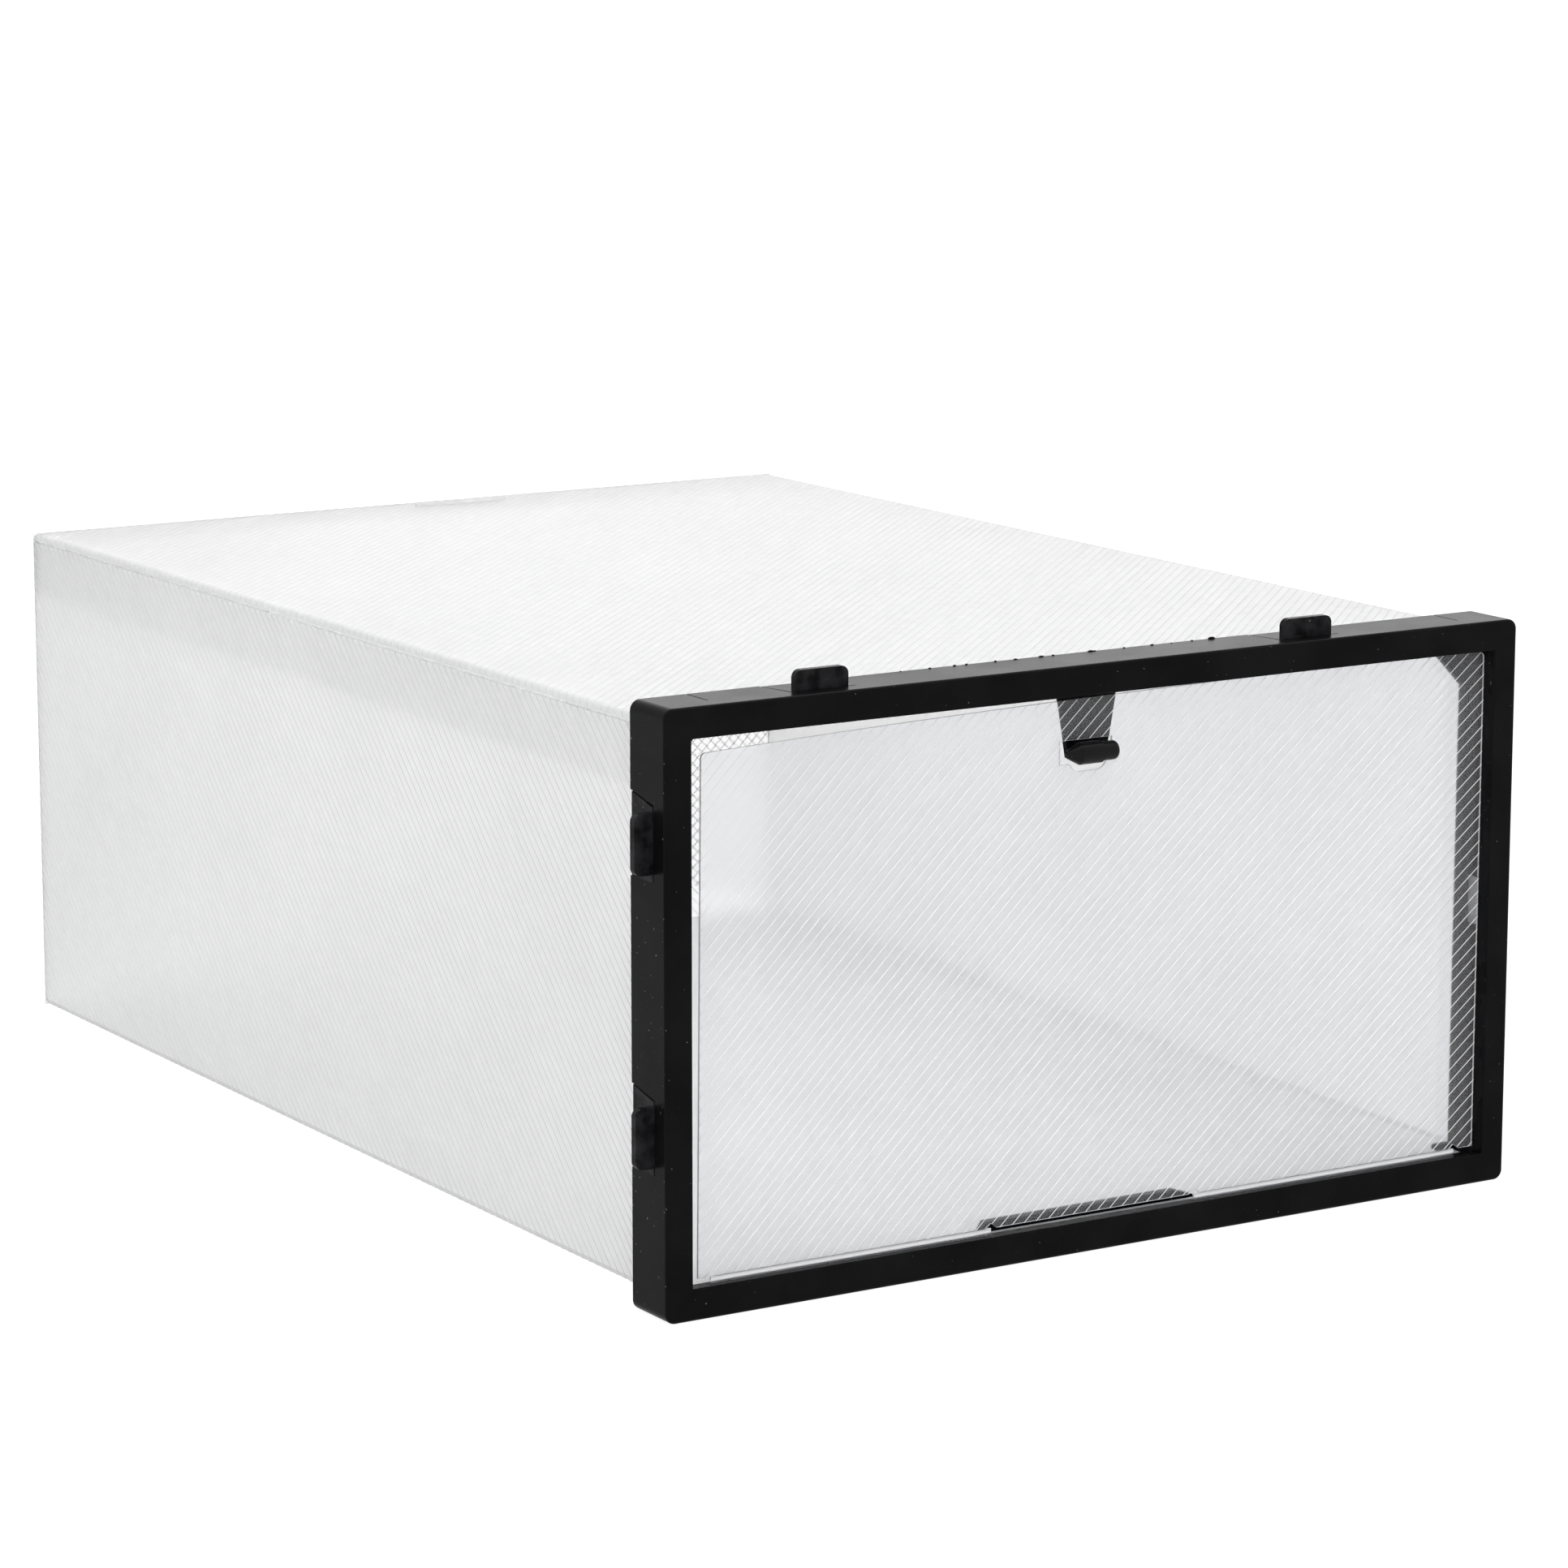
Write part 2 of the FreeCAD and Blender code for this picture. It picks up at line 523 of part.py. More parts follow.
# The door is one sheet; it is split round its latch hole, so that each node is convex.
DOOR_PARTS = (
    ("door_panel", "-width / 2", "0", "width", hole_low),
    ("door_beside_hole_left", "-width / 2", hole_low, "width / 2 + %s" % hole_left, "height"),
    ("door_beside_hole_right", "%s + hole_wide" % hole_left, hole_low, "width / 2", "height"),
    ("door_over_hole", hole_left, "%s + hole_tall" % hole_low, "hole_wide", "height"),
)
for label, x, z, long, tall in DOOR_PARTS:
    region = box(label + "_region", x, "0", z, long, "frame_depth", tall)
    nodes.append(common(label, door, region))
for label, start, long in HINGES:
    nodes.append(box("door_hinge_tab_" + label, start, "door_y",
                     "crease_z - hinge_drop", long, "gauge",
                     "hinge_drop - crease_down"))

# ---- Latch: tongue under the top rail, bar in front of the door ---------------
tongue_long = "(%s - tongue_gap - tongue_low)" % CEILING
blade = wedge("latch_blade", ("-tongue_end / 2", "tongue_end / 2"),
              ("-tongue_top / 2", "tongue_top / 2"), tongue_long, "tongue_thick")
turn(blade, (1, 0, 0), 90)
place(blade, "%s - latch_off" % MID, "%s + tongue_y + tongue_thick" % FRONT, "tongue_low")
neck = box("latch_neck", "-latch_off - neck_wide / 2", "bar_y + bar_radius - 1.2",
           "bar_z - neck_tall / 2", "neck_wide",
           "tongue_y + tongue_thick - bar_y - bar_radius + 1.2", "neck_tall")
bevel = doc.addObject("Part::Cone", "latch_bar_bevel")
bind(bevel, Radius1="bar_tip", Radius2="bar_radius", Height="bar_bevel")
thick = doc.addObject("Part::Cylinder", "latch_bar_thick")
bind(thick, Radius="bar_radius", Height="bar_main")
thin = doc.addObject("Part::Cylinder", "latch_bar_thin")
bind(thin, Radius="bar_thin", Height="bar_rest + 1")
rounded = fillet("latch_bar_end", thin, size("bar_round"),
                 lambda middle, along: middle.z > size("bar_rest"))
for piece, along in ((bevel, "0"), (thick, "bar_bevel"), (rounded, "bar_bevel + bar_main - 1")):
    turn(piece, (0, 1, 0), 90)
    place(piece, "%s - latch_off - bar_start + %s" % (MID, along),
          "%s + bar_y" % FRONT, "bar_z")
bar = fuse("latch_bar", [bevel, thick, rounded])
nodes.append(bar)
nodes.append(cut("latch_tongue", fuse("latch_tongue_whole", [blade, neck]), bar))

doc.recompute()
for thing in doc.Objects:
    if "Invalid" in thing.State or "Error" in thing.State:
        raise RuntimeError("%s: %s" % (thing.Name, thing.State))

os.makedirs("parts", exist_ok=True)
for node in nodes:
    node.Label = node.Name
    shape = node.Shape
    if shape.isNull() or not shape.isValid() or len(shape.Solids) != 1:
        raise RuntimeError("%s: bad shape, %d solids" % (node.Name, len(shape.Solids)))
    shape.exportStep("parts/%s.step" % node.Name)
print(len(nodes), "nodes")
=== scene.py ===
import math
import random

import bmesh
import bpy
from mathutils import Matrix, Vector


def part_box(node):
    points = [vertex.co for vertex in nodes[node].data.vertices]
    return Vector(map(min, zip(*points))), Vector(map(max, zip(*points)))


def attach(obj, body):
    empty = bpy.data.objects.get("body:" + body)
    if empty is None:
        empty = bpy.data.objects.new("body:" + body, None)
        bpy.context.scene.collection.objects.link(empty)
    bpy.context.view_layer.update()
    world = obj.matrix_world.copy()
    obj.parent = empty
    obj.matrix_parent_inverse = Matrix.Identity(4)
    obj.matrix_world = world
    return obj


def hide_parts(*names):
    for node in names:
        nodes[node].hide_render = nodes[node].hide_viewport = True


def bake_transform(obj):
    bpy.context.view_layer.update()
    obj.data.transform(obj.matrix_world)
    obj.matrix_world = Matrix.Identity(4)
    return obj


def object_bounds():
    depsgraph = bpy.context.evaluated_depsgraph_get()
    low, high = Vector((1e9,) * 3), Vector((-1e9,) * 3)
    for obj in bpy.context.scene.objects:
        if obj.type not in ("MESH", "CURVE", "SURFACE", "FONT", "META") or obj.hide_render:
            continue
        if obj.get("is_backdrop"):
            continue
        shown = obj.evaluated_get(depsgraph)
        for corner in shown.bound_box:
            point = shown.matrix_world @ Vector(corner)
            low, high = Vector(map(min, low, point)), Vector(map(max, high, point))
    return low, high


# Looks of the drop-front shoe box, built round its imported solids. Metres, in the row frame.
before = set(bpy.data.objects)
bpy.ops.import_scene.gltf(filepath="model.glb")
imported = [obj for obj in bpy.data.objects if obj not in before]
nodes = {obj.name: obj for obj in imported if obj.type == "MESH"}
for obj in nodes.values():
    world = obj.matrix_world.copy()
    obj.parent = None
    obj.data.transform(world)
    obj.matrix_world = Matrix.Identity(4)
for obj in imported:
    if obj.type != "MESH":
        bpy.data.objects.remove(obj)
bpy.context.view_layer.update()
random.seed(41)

MM = 0.001

# ---- Sizes of the sheet, all in metres -------------------------------------------
RIB_PITCH = 2.2 * MM       # across the ribs
RIB_WIDE = 0.32 * MM       # at the foot of a rib
DOOR_RIB_WIDE = 0.21 * MM
RIB_TALL = 0.11 * MM
FOLD = 1.6 * MM            # outer radius of a fold
FOLD_STEPS = 6
DIAGONAL = RIB_PITCH * math.sqrt(2)   # pitch of the 45 degree ribs along the sheet's own axes

back_low, back_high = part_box("back_panel")
GAUGE = back_high.y - back_low.y


def add_mesh(name, points, faces):
    """An object in the scene with a new mesh of these points and faces."""
    mesh = bpy.data.meshes.new(name)
    mesh.from_pydata(points, [], faces)
    mesh.update()
    return add_object(name, mesh)


def add_object(name, data):
    thing = bpy.data.objects.new(name, data)
    bpy.context.scene.collection.objects.link(thing)
    return thing


# ---- Materials -------------------------------------------------------------------
def new_material(name):
    """An empty node material with a Principled shader, as (material, tree, shader)."""
    material = bpy.data.materials.new(name)
    material.use_nodes = True
    tree = material.node_tree
    tree.nodes.clear()
    out = tree.nodes.new("ShaderNodeOutputMaterial")
    shader = tree.nodes.new("ShaderNodeBsdfPrincipled")
    tree.links.new(shader.outputs["BSDF"], out.inputs["Surface"])
    return material, tree, shader


def noise(tree, scale, detail=3.0):
    """Noise on object coordinates; scale counts per metre."""
    coords = tree.nodes.new("ShaderNodeTexCoord")
    texture = tree.nodes.new("ShaderNodeTexNoise")
    texture.inputs["Scale"].default_value = scale
    texture.inputs["Detail"].default_value = detail
    texture.inputs["Roughness"].default_value = 0.5
    tree.links.new(coords.outputs["Object"], texture.inputs["Vector"])
    return texture.outputs["Fac"]


def ramp(tree, source, stops):
    """Colour ramp from (place, grey or colour) stops."""
    node = tree.nodes.new("ShaderNodeValToRGB")
    elements = node.color_ramp.elements
    while len(elements) < len(stops):
        elements.new(0.5)
    for element, (place, value) in zip(elements, stops):
        element.position = place
        colour = value if isinstance(value, tuple) else (value,) * 3
        element.color = (*colour, 1.0)
    tree.links.new(source, node.inputs["Fac"])
    return node.outputs["Color"]


def remap(tree, source, low, high):
    """A value from 0 to 1 moved to the range from low to high."""
    node = tree.nodes.new("ShaderNodeMapRange")
    node.inputs["To Min"].default_value = low
    node.inputs["To Max"].default_value = high
    tree.links.new(source, node.inputs["Value"])
    return node.outputs["Result"]


def bump(tree, shader, source, strength, distance):
    node = tree.nodes.new("ShaderNodeBump")
    node.inputs["Strength"].default_value = strength
    node.inputs["Distance"].default_value = distance
    tree.links.new(source, node.inputs["Height"])
    tree.links.new(node.outputs["Normal"], shader.inputs["Normal"])


def clear_sheet(name, colour, alpha, roughness, glass=0.0, ior=1.3):
    """Clear polypropylene. glass is the share that passes light on, blurred by the roughness;
    the rest scatters it back. alpha below 1 lets some straight through, cloudy over centimetres.
    """
    material, tree, shader = new_material(name)
    low, high = alpha
    cloud = noise(tree, 38.0)
    tree.links.new(remap(tree, cloud, low, high), shader.inputs["Alpha"])
    darker = tuple(c * 0.97 for c in colour)
    tint = ramp(tree, noise(tree, 17.0, 2.0), [(0.3, colour), (0.7, darker)])
    tree.links.new(tint, shader.inputs["Base Color"])
    tree.links.new(remap(tree, noise(tree, 260.0), roughness * 0.8, roughness * 1.25),
                   shader.inputs["Roughness"])
    shader.inputs["IOR"].default_value = ior
    shader.inputs["Transmission Weight"].default_value = glass
    bump(tree, shader, noise(tree, 900.0, 2.0), 0.12, 0.02 * MM)
    return material


SMALL_PATCHES_FROM = 0.01           # from this tone on, the paler patches are small


def black_moulding(name, patch_tone, shine=0.032):
    """Black polypropylene with a fine grain and dust; the second argument is the tone of its paler
    patches.
    """
    material, tree, shader = new_material(name)
    grain = noise(tree, 2600.0, 2.0)
    cloud = noise(tree, 55.0 if patch_tone < SMALL_PATCHES_FROM else 240.0, 4.0)
    dust = noise(tree, 1500.0, 0.0)
    body = ramp(tree, cloud, [(0.35, (0.0030, 0.0030, 0.0034)), (0.65, (patch_tone, patch_tone, patch_tone * 1.1))])
    specks = ramp(tree, dust, [(0.83, 0.0), (0.86, 0.10)])
    mixed = tree.nodes.new("ShaderNodeMix")
    mixed.data_type = "RGBA"
    mixed.blend_type = "ADD"
    mixed.inputs["Factor"].default_value = 1.0
    tree.links.new(body, mixed.inputs["A"])
    tree.links.new(specks, mixed.inputs["B"])
    tree.links.new(mixed.outputs["Result"], shader.inputs["Base Color"])
    tree.links.new(remap(tree, cloud, 0.20, 0.36), shader.inputs["Roughness"])
    shader.inputs["Specular IOR Level"].default_value = shine
    bump(tree, shader, grain, 0.25, 0.03 * MM)
    return material


MOULDING = black_moulding("black_moulding", 0.0056)
# The connector tabs get a moulding with small, markedly paler patches.
PALE_TAB_MOULDING = black_moulding("pale_tab_moulding", 0.021)
LATCH_MOULDING = black_moulding("latch_moulding", 0.0056, shine=0.11)
LAND = clear_sheet("clear_sheet", (0.975, 0.975, 0.975), (0.96, 0.99), 0.42, 0.86)
# A paler, clearer copy of the plain sheet for the top panel: painted light, as the real sleeve is
# one sheet of one tone.
TOP_LIT_LAND = clear_sheet("top_sheet_painted_light", (0.99, 0.99, 0.99), (0.96, 0.99), 0.42, 0.93)
# A less clear copy of the plain sheet for the base panel, scattering more light back so that it
# looks lighter: painted light.
BASE_LIT_LAND = clear_sheet("base_sheet_painted_light", (0.97, 0.97, 0.975), (0.97, 0.99), 0.42, 0.6)
FLAP = clear_sheet("flap_sheet", (0.97, 0.97, 0.97), (0.66, 0.76), 0.42, 0.90)
# A darker, less clear copy of the plain sheet for the right panel only: painted shade.
RIGHT_SHADED_LAND = clear_sheet("right_sheet_painted_shade", (0.915, 0.915, 0.92), (0.96, 0.99), 0.42, 0.74)
LAP_LAND = clear_sheet("lap_sheet", (0.985, 0.98, 0.98), (0.16, 0.26), 0.42, 0.95)
RIB = clear_sheet("sheet_rib", (0.62, 0.62, 0.62), (0.96, 0.99), 0.40, 0.5)
# A darker grey copy of the sheet for the rounded folds: painted shade along each crease.
SHADED_FOLD = clear_sheet("sheet_fold_painted_shade", (0.76, 0.76, 0.765), (0.96, 0.99), 0.5, 0.6)
EDGE = clear_sheet("sheet_cut_edge", (0.62, 0.62, 0.625), (0.90, 0.99), 0.35, 0.3)
DOOR_LAND = clear_sheet("door_sheet", (0.965, 0.97, 0.99), (0.96, 0.99), 0.14, 0.96, ior=1.2)
DOOR_RIB = clear_sheet("door_rib", (0.88, 0.88, 0.885), (0.78, 0.86), 0.2)
DOOR_EDGE = clear_sheet("door_cut_edge", (0.76, 0.76, 0.78), (0.80, 0.90), 0.3)
DOOR_TAB = clear_sheet("door_tab", (0.62, 0.635, 0.69), (0.10, 0.14), 0.14)
DOOR_CREASE = clear_sheet("door_crease", (0.90, 0.90, 0.91), (0.85, 0.95), 0.3)


# ---- Ribbed sheet ----------------------------------------------------------------
def clip(polygon, sign, level):
    """The part of a convex polygon in the sheet where (s - sign * t) <= level."""
    kept = []
    for (s0, t0), (s1, t1) in zip(polygon, polygon[1:] + polygon[:1]):
        d0 = s0 - sign * t0 - level
        d1 = s1 - sign * t1 - level
        if d0 <= 0:
            kept.append((s0, t0))
        if d0 * d1 < 0:
            share = d0 / (d0 - d1)
            kept.append((s0 + share * (s1 - s0), t0 + share * (t1 - t0)))
    return kept


def rib_lines(low, high, phase, wide):
    """Levels of s - sign * t between low and high where a rib starts, peaks or ends."""
    half = wide / 2 * math.sqrt(2)
    number = math.floor((low - phase) / DIAGONAL) - 1
    levels = []
    while number * DIAGONAL + phase < high + DIAGONAL:
        middle = number * DIAGONAL + phase
        levels += [middle - half, middle, middle + half]
        number += 1
    return [level for level in levels if low < level < high]


def from_rib(level, phase):
    """Distance of a level from the crest of the rib next to it."""
    return abs(level - (round((level - phase) / DIAGONAL) * DIAGONAL + phase))


def ribbed_sheet(name, cells, to_space, materials, sign=1, phase=0.0, wide=RIB_WIDE):
    """A sheet with diagonal ribs on its outer side, closed with an inner side and cut edges.

    cells are convex polygons in the flat sheet, each with a material for its land or None;
    to_space(s, t, h) gives the place of a point h above the outer side.
    """
    land, rib, edge = materials
    slots = []
    for material in [land, rib, edge] + [own for _, own in cells if own]:
        if material not in slots:
            slots.append(material)
    index = {}
    points = []
    faces = []
    tones = []

    def vertex(s, t, h):
        key = (round(s * 1e7), round(t * 1e7), h < 0)
        if key not in index:
            index[key] = len(points)
            points.append(to_space(s, t, h))
        return index[key]

    def ring(piece, inside):
        """Vertex numbers round a piece, each once."""
        numbers = []
        for s, t in piece:
            crest = from_rib(s - sign * t, phase) < 1e-8
            number = vertex(s, t, -GAUGE if inside else (RIB_TALL if crest else 0.0))
            if number not in numbers:
                numbers.append(number)
        return numbers

    borders = {}
    for polygon, own in cells:
        reach = [s - sign * t for s, t in polygon]
        rest = list(polygon)
        for level in rib_lines(min(reach), max(reach), phase, wide) + [max(reach) + 1]:
            piece = clip(rest, sign, level)
            mirrored = clip([(-s, -t) for s, t in rest], sign, -level)
            rest = [(-s, -t) for s, t in mirrored]
            if len(piece) < 3:
                continue
            middle = sum(s - sign * t for s, t in piece) / len(piece)
            on_rib = from_rib(middle, phase) < wide / 2 * math.sqrt(2)
            outer = ring(piece, False)
            if len(outer) < 3:
                continue
            inner = ring(piece, True)
            faces += [outer, inner[::-1]]
            tones += [slots.index(rib if on_rib else (own or land)), slots.index(own or land)]
            for a, b, c, d in zip(outer, outer[1:] + outer[:1], inner, inner[1:] + inner[:1]):
                if (b, a) in borders:
                    del borders[(b, a)]
                else:
                    borders[(a, b)] = (c, d)
    for (a, b), (c, d) in borders.items():
        faces.append([b, a, c, d])
        tones.append(slots.index(edge))
    piece = add_mesh(name, points, faces)
    for material in slots:
        piece.data.materials.append(material)
    piece.data.polygons.foreach_set("material_index", tones)
    piece.data.validate()
    piece.data.update()
    return piece


# ---- Sleeve: one sheet, folded round from the lap flap to its cut edge ------------
left_low, left_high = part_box("body_left")
right_low, right_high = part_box("body_right")
top_low, top_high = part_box("body_top")
base_low, base_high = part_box("body_bottom")
lap_low, lap_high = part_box("body_lap_flap")
clip_low, clip_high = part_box("bottom_clip")
CLIP_PLAY = 0.4 * MM
SLOT = (clip_low.x - CLIP_PLAY, clip_high.x + CLIP_PLAY)
JOG_TALL = 0.6 * MM        # the lap moves out to the left panel's line over this height
JOG_STEPS = 4
EDGE_GAP = 0.5 * MM        # the left panel's cut edge stays this far below the top fold


def section():
    """Outer line of the folded sheet in XZ, as (x, z, normal x, normal z, material).

    A point's material is that of the stretch that ends at it; None is the plain sheet.
    """
    line = [(lap_low.x, lap_low.z, -1.0, 0.0, None)]
    for i in range(JOG_STEPS + 1):
        share = i / JOG_STEPS
        ease = share * share * (3 - 2 * share)
        line.append((lap_low.x + (left_low.x - lap_low.x) * ease,
                     lap_high.z - JOG_TALL + share * JOG_TALL, -1.0, 0.0, LAP_LAND))
    # The top and base panels take the paler copies of the sheet (painted light), the right panel
    # the darker copy (painted shade); the left panel keeps the plain sheet.
    corners = [
        (left_low.x + FOLD, top_high.z - FOLD, 180.0, None),
        (right_high.x - FOLD, top_high.z - FOLD, 90.0, TOP_LIT_LAND),
        (right_high.x - FOLD, base_low.z + FOLD, 0.0, RIGHT_SHADED_LAND),
        (left_low.x + FOLD, base_low.z + FOLD, -90.0, BASE_LIT_LAND),
    ]
    for cx, cz, start, panel in corners:
        if panel is BASE_LIT_LAND:
            line += [(x, base_low.z, 0.0, -1.0, BASE_LIT_LAND) for x in (SLOT[1], SLOT[0])]
        for i in range(FOLD_STEPS + 1):
            angle = math.radians(start - 90.0 * i / FOLD_STEPS)
            nx, nz = math.cos(angle), math.sin(angle)
            # Fold points take the darker fold sheet: painted shade along the crease.
            line.append((cx + FOLD * nx, cz + FOLD * nz, nx, nz, SHADED_FOLD if i else panel))
    line.append((left_low.x, left_high.z - EDGE_GAP, -1.0, 0.0, None))
    return line


def lay_out(line):
    """Distances along the section, dropping points that fall on one another."""
    stations = [(0.0, *line[0])]
    for point in line[1:]:
        run = math.dist(stations[-1][1:3], point[:2])
        if run > 1e-7:
            stations.append((stations[-1][0] + run, *point))
    return stations


stations = lay_out(section())
FRONT_Y, REAR_Y = top_low.y, top_high.y


def sleeve_point(s, t, h):
    """Place of a point s along the section, t along Y and h above the outer side."""
    for a, b in zip(stations, stations[1:]):
        if s <= b[0] + 1e-9:
            break
    share = max(0.0, min(1.0, (s - a[0]) / (b[0] - a[0])))
    x = a[1] + share * (b[1] - a[1])
    z = a[2] + share * (b[2] - a[2])
    nx = a[3] + share * (b[3] - a[3])
    nz = a[4] + share * (b[4] - a[4])
    return (x + nx * h, t, z + nz * h)


# The base panel starts behind the frame's ledge and is slotted round the clip plate.
bands = [FRONT_Y, base_low.y, clip_low.y - CLIP_PLAY, clip_high.y + CLIP_PLAY, REAR_Y]
cells = []
for a, b in zip(stations, stations[1:]):
    on_base = max(a[2], b[2]) < base_high.z + 0.01 * MM
    in_slot = on_base and b[5] is BASE_LIT_LAND and SLOT[0] < (a[1] + b[1]) / 2 < SLOT[1]
    for number, (near, far) in enumerate(zip(bands, bands[1:])):
        if (on_base and number == 0) or (in_slot and number == 2):
            continue
        cells.append(([(a[0], near), (b[0], near), (b[0], far), (a[0], far)], b[5]))
sleeve = ribbed_sheet("sleeve_sheet", cells, sleeve_point, (LAND, RIB, EDGE))
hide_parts("body_top", "body_bottom", "body_left", "body_right", "body_lap_flap")
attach(sleeve, "root")


# ---- Flat flaps at the back ------------------------------------------------------
def flat_flap(name, node, outline, axes, sign, materials=(FLAP, RIB, EDGE), sink=0.0):
    """A flat ribbed flap in a node's place, its outer side sunk by sink.

    axes are the s direction, the t direction and the normal.
    """
    low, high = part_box(node)
    along, up, out = (Vector(axis) for axis in axes)
    start = (low + high) / 2 + out * (GAUGE / 2 - sink)

    def place(s, t, h):
        return tuple(start + along * s + up * t + out * h)

    piece = ribbed_sheet(name, [(outline, None)], place, materials, sign)
    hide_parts(node)
    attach(piece, "root")
    return piece


def rectangle(node, along, up):
    """Outline of a node's box on two axes, round its middle."""
    low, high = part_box(node)
    size = high - low
    long = abs(size.dot(Vector(along)))
    tall = abs(size.dot(Vector(up)))
    return [(-long / 2, -tall / 2), (long / 2, -tall / 2), (long / 2, tall / 2),
            (-long / 2, tall / 2)]


X, Y, Z, MINUS_X = (1, 0, 0), (0, 1, 0), (0, 0, 1), (-1, 0, 0)
flat_flap("back_sheet", "back_panel", rectangle("back_panel", MINUS_X, Z), (MINUS_X, Z, Y), 1,
          (LAND, RIB, EDGE), sink=RIB_TALL)
flat_flap("back_tuck_sheet", "back_tuck_flap", rectangle("back_tuck_flap", X, Y), (X, Y, Z), 1)
DUST_RISE = 16 * MM        # the free end's corners are cut back this far
for side in ("left", "right"):
    node = "dust_flap_" + side
    low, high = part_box(node)
    long, tall = high.x - low.x, high.z - low.z
    outline = [(-long / 2, -tall / 2), (long / 2, -tall / 2 + DUST_RISE),
               (long / 2, tall / 2 - DUST_RISE), (-long / 2, tall / 2)]
    if side == "left":     # its folded end is on the other side, seen from the back
        outline = [(-s, t) for s, t in outline][::-1]
    flat_flap("dust_sheet_" + side, node, outline, (MINUS_X, Z, Y), -1, (LAP_LAND, RIB, EDGE))

# ---- Door: one ribbed sheet with its latch hole and notches ----------------------
door_low, door_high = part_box("door_panel")
over_low, over_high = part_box("door_over_hole")
frame_low, frame_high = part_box("frame_top_wall")
bar_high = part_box("latch_bar")[1]
DOOR_FRONT = door_low.y
DOOR_LONG = door_high.x - door_low.x
DOOR_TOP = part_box("door_beside_hole_right")[1].z
ARCH = 4500 * MM                     # radius of the top edge
ARCH_OFF = 70 * MM                   # its highest point, right of the middle
ARCH_STEPS = 24
DOOR_CORNER = 1.2 * MM
DOOR_LEAN = 1.1 * MM                 # the left edge leans in towards its top
NOTCH = (3.2 * MM, 1.1 * MM)         # width and height of a notch at a tab's end
NOTCH_FLAT = 0.4 * MM                # width of the notch's top
HOLE_OVER_BAR = 0.15 * MM
HOLE = (over_low.x, over_high.x, door_high.z, bar_high.z + HOLE_OVER_BAR)
HOLE_ROUND = 3.0 * MM
HOLE_NARROW = (2.6 * MM, 1.3 * MM)   # how far the hole steps in below the bar, left and right
SLOT_LOW = 1.9 * MM                  # the wider slot for the bar starts this far up


def prism(name, outline, y_low, y_high):
    """A closed prism along Y over an outline in XZ."""
    count = len(outline)
    points = [(x, y_low, z) for x, z in outline] + [(x, y_high, z) for x, z in outline]
    faces = [list(range(count)), list(range(2 * count - 1, count - 1, -1))]
    for i in range(count):
        j = (i + 1) % count
        faces.append([j, i, i + count, j + count])
    return add_mesh(name, points, faces)


def round_corner(cx, cz, radius, start, stop, steps=7):
    """Points of an arc between two angles in degrees."""
    turns = [math.radians(start + (stop - start) * i / steps) for i in range(steps + 1)]
    return [(cx + radius * math.cos(a), cz + radius * math.sin(a)) for a in turns]


def door_outline():
    """Outline in XZ: notched bottom edge, rounded top corners, arched top edge."""
    notches = []
    for node in ("door_hinge_tab_left", "door_hinge_tab_right"):
        low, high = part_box(node)
        notches += [low.x, high.x]
    wide, tall = NOTCH
    line = [(door_low.x, door_low.z)]
    for x in notches:
        line += [(x - wide / 2, door_low.z), (x - NOTCH_FLAT / 2, door_low.z + tall),
                 (x + NOTCH_FLAT / 2, door_low.z + tall), (x + wide / 2, door_low.z)]
    line.append((door_high.x, door_low.z))
    peak = (frame_low.x + frame_high.x) / 2 + ARCH_OFF
    left, right = door_low.x + DOOR_LEAN + DOOR_CORNER, door_high.x - DOOR_CORNER

    def crown(x):
        return DOOR_TOP - ARCH + math.sqrt(ARCH * ARCH - (x - peak) ** 2)

    line += round_corner(right, crown(right) - DOOR_CORNER, DOOR_CORNER, 0, 90)
    for i in range(1, ARCH_STEPS):
        x = right + (left - right) * i / ARCH_STEPS
        line.append((x, crown(x)))
    line += round_corner(left, crown(left) - DOOR_CORNER, DOOR_CORNER, 90, 180)
    return line


def hole_outline():
    """Latch hole: a wide slot behind the bar, narrower and rounded below it."""
    left, right, low, high = HOLE
    step = low + SLOT_LOW
    inner_left, inner_right = left + HOLE_NARROW[0], right - HOLE_NARROW[1]
    reach = math.degrees(math.asin(1 - SLOT_LOW / HOLE_ROUND))
    line = [(right, high), (left, high), (left, step)]
    line += round_corner(inner_left + HOLE_ROUND, low + HOLE_ROUND, HOLE_ROUND, 180 + reach, 270)
    line += round_corner(inner_right - HOLE_ROUND, low + HOLE_ROUND, HOLE_ROUND, 270, 360 - reach)
    return line + [(right, step)]


def cut_with(piece, tool, operation):
    """Apply a boolean of a throwaway tool to a piece."""
    modifier = piece.modifiers.new("cut", "BOOLEAN")
    modifier.operation = operation
    modifier.solver = "EXACT"
    modifier.object = tool
    view = bpy.context.evaluated_depsgraph_get()
    mesh = bpy.data.meshes.new_from_object(piece.evaluated_get(view))
    piece.modifiers.clear()
    piece.data = mesh
    bpy.data.objects.remove(tool)


RIB_SAG = 0.2              # the door's ribs lose this much of their slope from left to right
RIB_PHASE = 0.4 * MM
COLUMNS = 24
MARGIN = 6 * MM            # the sheet is made this much too large all round, then cut


def door_point(s, t, h):
    """Place of a point in the door's sheet; the columns slide down so that the ribs curve."""
    return (s, DOOR_FRONT - h, t - RIB_SAG * (s - door_low.x) ** 2 / (2 * DOOR_LONG))


def door_columns():
    """Upright strips of the uncut sheet, tall enough for the slide of the last one."""
    wide = (DOOR_LONG + 2 * MARGIN) / COLUMNS
    low = door_low.z - MARGIN
    high = DOOR_TOP + MARGIN + 1.1 * RIB_SAG * DOOR_LONG / 2
    strips = []
    for i in range(COLUMNS):
        near = door_low.x - MARGIN + i * wide
        far = near + wide
        strips.append(([(near, low), (far, low), (far, high), (near, high)], None))
    return strips


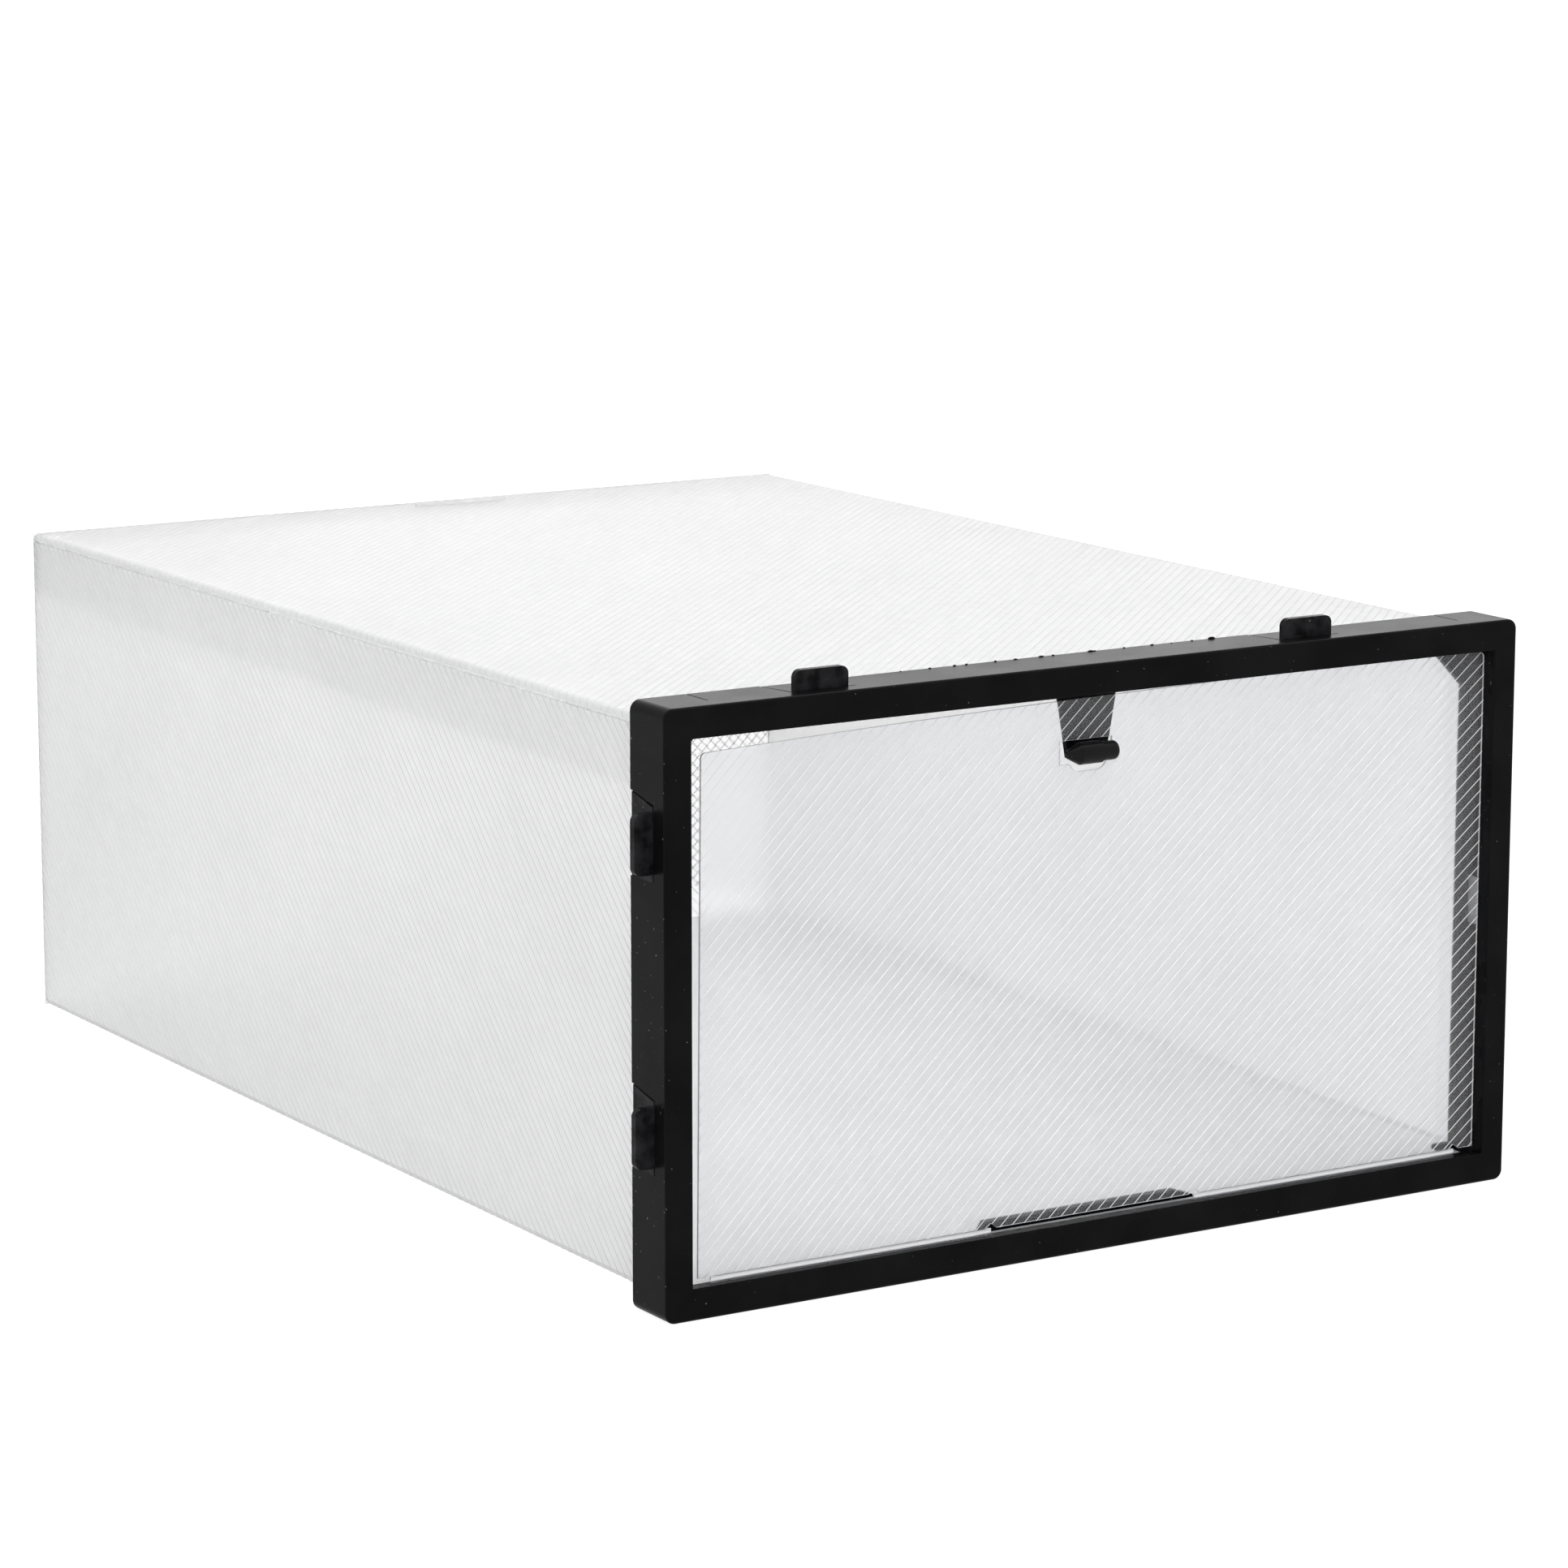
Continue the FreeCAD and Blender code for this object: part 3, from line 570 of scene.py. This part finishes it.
door_tones = (DOOR_LAND, DOOR_RIB, DOOR_EDGE)
door = ribbed_sheet("door_sheet", door_columns(), door_point, door_tones,
                    phase=RIB_PHASE, wide=DOOR_RIB_WIDE)
CUT_REACH = 10 * MM
for tool, outline, operation in (("door_limits", door_outline(), "INTERSECT"),
                                 ("latch_hole", hole_outline(), "DIFFERENCE")):
    cut_with(door, prism(tool, outline, DOOR_FRONT - CUT_REACH, DOOR_FRONT + CUT_REACH), operation)
mesh = door.data
mesh.materials.clear()
for material in door_tones:
    mesh.materials.append(material)
for face in mesh.polygons:
    raised = any(mesh.vertices[i].co.y < DOOR_FRONT - RIB_TALL / 2 for i in face.vertices)
    on_edge = abs(face.normal.y) < 0.3
    face.material_index = 2 if on_edge else int(raised)
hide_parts("door_panel", "door_beside_hole_left", "door_beside_hole_right", "door_over_hole")
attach(door, "door")

# ---- Bending webs: the door's crease over each hinge tab, and the latch's root ---------
def web(name, low, high, waist, levels=6):
    """A thin upright strip from low to high, thinned by waist on both faces half-way up."""
    points = []
    for i in range(levels + 1):
        share = i / levels
        inset = waist * math.sin(math.pi * share)
        z = low[2] + share * (high[2] - low[2])
        points += [(low[0], low[1] + inset, z), (high[0], low[1] + inset, z),
                   (high[0], high[1] - inset, z), (low[0], high[1] - inset, z)]
    faces = [(3, 2, 1, 0), tuple(4 * levels + i for i in range(4))]
    for i in range(levels):
        for j in range(4):
            k = (j + 1) % 4
            faces.append((4 * i + j, 4 * i + k, 4 * i + 4 + k, 4 * i + 4 + j))
    return add_mesh(name, points, faces)


CREASE_WAIST = 0.12 * MM
ROOT_WAIST = 0.1 * MM
ROOT_GAP = 0.3 * MM        # between the tongue and the frame's top strip
for side in ("left", "right"):
    tab_low, tab_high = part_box("door_hinge_tab_" + side)
    crease = web("door_crease_" + side, (tab_low.x, door_low.y, tab_high.z),
                 (tab_high.x, door_high.y, door_low.z), CREASE_WAIST)
    crease.data.materials.append(DOOR_CREASE)
    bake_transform(crease)

tongue = nodes["latch_tongue"]
tongue_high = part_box("latch_tongue")[1]
corners = [tongue.matrix_world @ v.co for v in tongue.data.vertices]
corners = [v for v in corners if v.z > tongue_high.z - 0.05 * MM]
latch_web = web("latch_root_web",
                (min(v.x for v in corners), min(v.y for v in corners), tongue_high.z),
                (max(v.x for v in corners), max(v.y for v in corners), tongue_high.z + ROOT_GAP),
                ROOT_WAIST)
latch_web.data.materials.append(MOULDING)
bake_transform(latch_web)

# ---- Mould burrs along the rear edge of the frame's top face ----------------------------
BURRS = 15
BURR_SPAN = (-48 * MM, 44 * MM)
BURR_RADII = (0.16, 0.34)
LAST_BURR = 0.55           # the one at the right end is larger
BURR_INSET = 0.4 * MM
burr_mesh = bmesh.new()
for i in range(BURRS):
    along = BURR_SPAN[0] + (BURR_SPAN[1] - BURR_SPAN[0]) * (i + random.random()) / BURRS
    radius = random.uniform(*BURR_RADII) * MM if i < BURRS - 1 else LAST_BURR * MM
    lump = bmesh.ops.create_icosphere(burr_mesh, subdivisions=2, radius=radius)
    bmesh.ops.scale(burr_mesh, verts=lump["verts"], vec=(random.uniform(1.2, 2.6), 0.9, 1.0))
    for vertex in lump["verts"]:
        vertex.co *= random.uniform(0.88, 1.08)
    bmesh.ops.translate(burr_mesh, verts=lump["verts"],
                        vec=(along, frame_high.y - BURR_INSET, frame_high.z))
mesh = bpy.data.meshes.new("mould_burrs")
burr_mesh.to_mesh(mesh)
burr_mesh.free()
mesh.materials.append(MOULDING)
burrs = add_object("mould_burrs", mesh)
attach(burrs, "root")

# ---- Materials of the nodes that stay --------------------------------------------
for name, node in nodes.items():
    if node.hide_render:
        continue
    node.data.materials.clear()
    if name.startswith("connector"):
        node.data.materials.append(PALE_TAB_MOULDING)
    elif name == "latch_bar":
        node.data.materials.append(LATCH_MOULDING)
    elif name.startswith(("frame", "latch", "bottom_clip")):
        node.data.materials.append(MOULDING)
    elif name.startswith("door"):
        node.data.materials.append(DOOR_TAB)
    else:
        node.data.materials.append(LAND)

# ---- Floor, light and camera -----------------------------------------------------
FLOOR_HALF = 14.0
FLOOR_GLOW = 0.91          # the floor is a light table
WORLD_GLOW = 1.155
WHITE = (1.0, 1.0, 1.0, 1.0)
floor = add_mesh("floor", [(x * FLOOR_HALF, y * FLOOR_HALF, 0)
                           for x, y in ((-1, -1), (1, -1), (1, 1), (-1, 1))], [(0, 1, 2, 3)])
material, tree, shader = new_material("pale_floor")
shader.inputs["Base Color"].default_value = (0.15, 0.15, 0.15, 1.0)
shader.inputs["Emission Color"].default_value = WHITE
shader.inputs["Emission Strength"].default_value = FLOOR_GLOW
shader.inputs["Roughness"].default_value = 0.8
floor.data.materials.append(material)
floor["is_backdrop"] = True

world = bpy.data.worlds.new("studio")
bpy.context.scene.world = world
world.use_nodes = True
world.node_tree.nodes["Background"].inputs["Color"].default_value = WHITE
world.node_tree.nodes["Background"].inputs["Strength"].default_value = WORLD_GLOW


def softbox(name, place, target, wide, tall, power):
    """A rectangular area light at a place, turned to a target; power in watts."""
    data = bpy.data.lights.new(name, "AREA")
    data.shape = "RECTANGLE"
    data.size = wide
    data.size_y = tall
    data.energy = power
    lamp = add_object(name, data)
    lamp.location = place
    lamp.rotation_mode = "QUATERNION"
    lamp.rotation_quaternion = (Vector(target) - Vector(place)).to_track_quat("-Z", "Y")


softbox("overhead", (0.0, 0.3, 2.2), (0, 0, 0), 3.0, 3.0, 28)
softbox("rear", (0.95, 1.7, 0.75), (0, -0.1, 0.1), 2.2, 1.0, 4)

# Solved on the photograph's straight edges.
CAMERA_PLACE = (-0.68708, -1.13971, 0.33997)
CAMERA_TURN = (79.044, -0.025, -31.761)
camera_data = bpy.data.cameras.new("camera")
camera_data.sensor_width = 36.0
camera_data.lens = 121.97
camera_data.clip_start = 0.05
camera_data.clip_end = 60.0
camera = add_object("camera", camera_data)
camera.location = CAMERA_PLACE
camera.rotation_euler = [math.radians(turn) for turn in CAMERA_TURN]
bpy.context.scene.camera = camera
bpy.context.scene.view_settings.view_transform = "Standard"
bpy.context.scene.cycles.transparent_max_bounces = 48

low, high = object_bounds()
